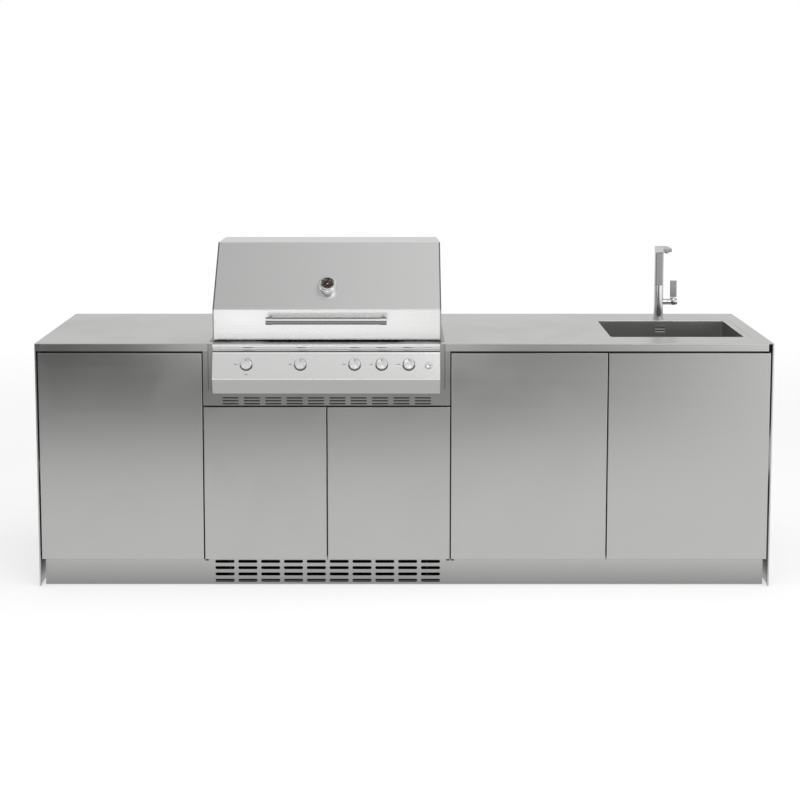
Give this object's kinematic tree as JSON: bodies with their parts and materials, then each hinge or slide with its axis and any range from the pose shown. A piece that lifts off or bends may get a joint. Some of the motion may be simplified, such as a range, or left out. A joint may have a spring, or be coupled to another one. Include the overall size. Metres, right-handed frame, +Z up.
{
  "type": "outdoor kitchen with sink",
  "caption": "Free-standing stainless outdoor kitchen: drop-in gas grill with hinged hood, flush sink with lever mixer tap, hinged cabinet doors, vented plinth.",
  "frame": {"origin": "on the floor under the middle of the whole box", "axes": "+X along the kitchen from the left bay to the sink, +Y from the doors to the back, +Z up"},
  "size_m": [2.7, 0.8078, 1.2599],
  "materials": {
    "brushed_steel": "satin brushed stainless sheet",
    "inner_steel": "mill-finish stainless sheet",
    "grill_steel": "brighter brushed stainless sheet",
    "handle_steel": "satin turned stainless",
    "sink_steel": "satin pressed stainless",
    "chrome": "polished",
    "bezel_black": "matt black",
    "burner_ceramic": "heat-stained",
    "grate_steel": "drawn rod",
    "brass": "machined",
    "gas_pipe": "zinc plated",
    "glass": "clear",
    "needle_red": "enamelled",
    "foot_plastic": "moulded"
  },
  "bodies": {
    "cabinet": {"side_panel_left": "brushed_steel", "side_panel_right": "brushed_steel", "partition_left": "inner_steel", "partition_right": "inner_steel", "cabinet_floors": "inner_steel", "levelling_feet": "foot_plastic", "back_panels": "inner_steel", "top_rails": "inner_steel", "shelf_left": "inner_steel", "plinth": "brushed_steel", "worktop": "brushed_steel", "grill_fascia": "brushed_steel", "pivot_brackets": "inner_steel", "magnetic_catches": "foot_plastic", "control_panel": "grill_steel", "panel_bezels": "bezel_black", "igniter_housing": "bezel_black", "gas_valves": "brass", "gas_manifold": "gas_pipe", "firebox": "grill_steel", "main_burners": "grill_steel", "flame_tamers": "grill_steel", "rear_burner": "burner_ceramic", "cooking_grates": "grate_steel", "warming_rack": "grate_steel", "drip_tray": "grill_steel", "hood_hinge_brackets": "grill_steel", "sink_bowl": "sink_steel", "overflow_cover": "sink_steel", "drain_strainer": "sink_steel", "drain_trap": "foot_plastic", "tap_body": "chrome", "tap_fixing_nut": "brass"},
    "hood": {"hood_shell": "grill_steel", "hood_end_caps": "grill_steel", "hood_hinge_pins": "grill_steel", "hood_handle_bar": "handle_steel", "hood_handle_posts": "handle_steel", "thermometer_case": "chrome", "thermometer_glass": "glass"},
    "thermometer_needle": {"thermometer_needle": "needle_red"},
    "igniter_button": {"igniter_button": "chrome"},
    "tap_spout": {"tap_spout": "chrome"},
    "tap_lever_stem": {"tap_lever_stem": "chrome"},
    "tap_lever": {"tap_lever": "chrome"},
    "door_left": {"door_left_pan": "brushed_steel", "door_left_liner": "inner_steel"},
    "door_grill_left": {"door_grill_left_pan": "brushed_steel", "door_grill_left_liner": "inner_steel"},
    "door_grill_right": {"door_grill_right_pan": "brushed_steel", "door_grill_right_liner": "inner_steel"},
    "door_sink_left": {"door_sink_left_pan": "brushed_steel", "door_sink_left_liner": "inner_steel"},
    "door_sink_right": {"door_sink_right_pan": "brushed_steel", "door_sink_right_liner": "inner_steel"},
    "control_knob_1": {"control_knob_1": "chrome"},
    "control_knob_2": {"control_knob_2": "chrome"},
    "control_knob_3": {"control_knob_3": "chrome"},
    "control_knob_4": {"control_knob_4": "chrome"},
    "control_knob_5": {"control_knob_5": "chrome"}
  },
  "joints": [
    {"name": "hood_hinge", "type": "hinge", "parent": "cabinet", "child": "hood", "pos_m": [-0.284, 0.24191, 0.94], "axis": [-1, 0, 0], "range_deg": [0, 90]},
    {"name": "door_left_hinge", "type": "hinge", "parent": "cabinet", "child": "door_left", "pos_m": [-1.3335, -0.34009, 0.103], "axis": [0, 0, -1], "range_deg": [0, 90]},
    {"name": "door_grill_left_hinge", "type": "hinge", "parent": "cabinet", "child": "door_grill_left", "pos_m": [-0.73, -0.34009, 0.103], "axis": [0, 0, -1], "range_deg": [0, 90]},
    {"name": "door_grill_right_hinge", "type": "hinge", "parent": "cabinet", "child": "door_grill_right", "pos_m": [0.162, -0.34009, 0.103], "axis": [0, 0, 1], "range_deg": [0, 90]},
    {"name": "door_sink_left_hinge", "type": "hinge", "parent": "cabinet", "child": "door_sink_left", "pos_m": [0.178, -0.34009, 0.103], "axis": [0, 0, -1], "range_deg": [0, 90]},
    {"name": "door_sink_right_hinge", "type": "hinge", "parent": "cabinet", "child": "door_sink_right", "pos_m": [1.3335, -0.34009, 0.103], "axis": [0, 0, 1], "range_deg": [0, 90]},
    {"name": "knob_1_turn", "type": "hinge", "parent": "cabinet", "child": "control_knob_1", "pos_m": [-0.5745, -0.37447, 0.83908], "axis": [0, -0.9527, 0.304], "range_deg": [0, 180]},
    {"name": "knob_2_turn", "type": "hinge", "parent": "cabinet", "child": "control_knob_2", "pos_m": [-0.3775, -0.37447, 0.83908], "axis": [0, -0.9527, 0.304], "range_deg": [0, 180]},
    {"name": "knob_3_turn", "type": "hinge", "parent": "cabinet", "child": "control_knob_3", "pos_m": [-0.1805, -0.37447, 0.83908], "axis": [0, -0.9527, 0.304], "range_deg": [0, 180]},
    {"name": "knob_4_turn", "type": "hinge", "parent": "cabinet", "child": "control_knob_4", "pos_m": [-0.082, -0.37447, 0.83908], "axis": [0, -0.9527, 0.304], "range_deg": [0, 180]},
    {"name": "knob_5_turn", "type": "hinge", "parent": "cabinet", "child": "control_knob_5", "pos_m": [0.0165, -0.37447, 0.83908], "axis": [0, -0.9527, 0.304], "range_deg": [0, 180]},
    {"name": "igniter_press", "type": "slide", "parent": "cabinet", "child": "igniter_button", "axis": [0, 0.9527, -0.304], "range_m": [0, 0.004], "stiffness_N_per_m": 400},
    {"name": "needle_turn", "type": "hinge", "parent": "hood", "child": "thermometer_needle", "pos_m": [-0.284, -0.23167, 1.10198], "axis": [0, 0.7198, -0.6942], "range_deg": [0, 260], "stiffness_Nm_per_rad": 0.002},
    {"name": "spout_swivel", "type": "hinge", "parent": "cabinet", "child": "tap_spout", "pos_m": [1.028, 0.28191, 1.045], "axis": [0, 0, 1], "range_deg": [-90, 90]},
    {"name": "lever_temperature", "type": "hinge", "parent": "cabinet", "child": "tap_lever_stem", "pos_m": [1.062, 0.28191, 0.977], "axis": [1, 0, 0], "range_deg": [-45, 45]},
    {"name": "lever_flow", "type": "hinge", "parent": "tap_lever_stem", "child": "tap_lever", "pos_m": [1.087, 0.28191, 0.977], "axis": [0, 1, 0], "range_deg": [0, 20]}
  ]
}
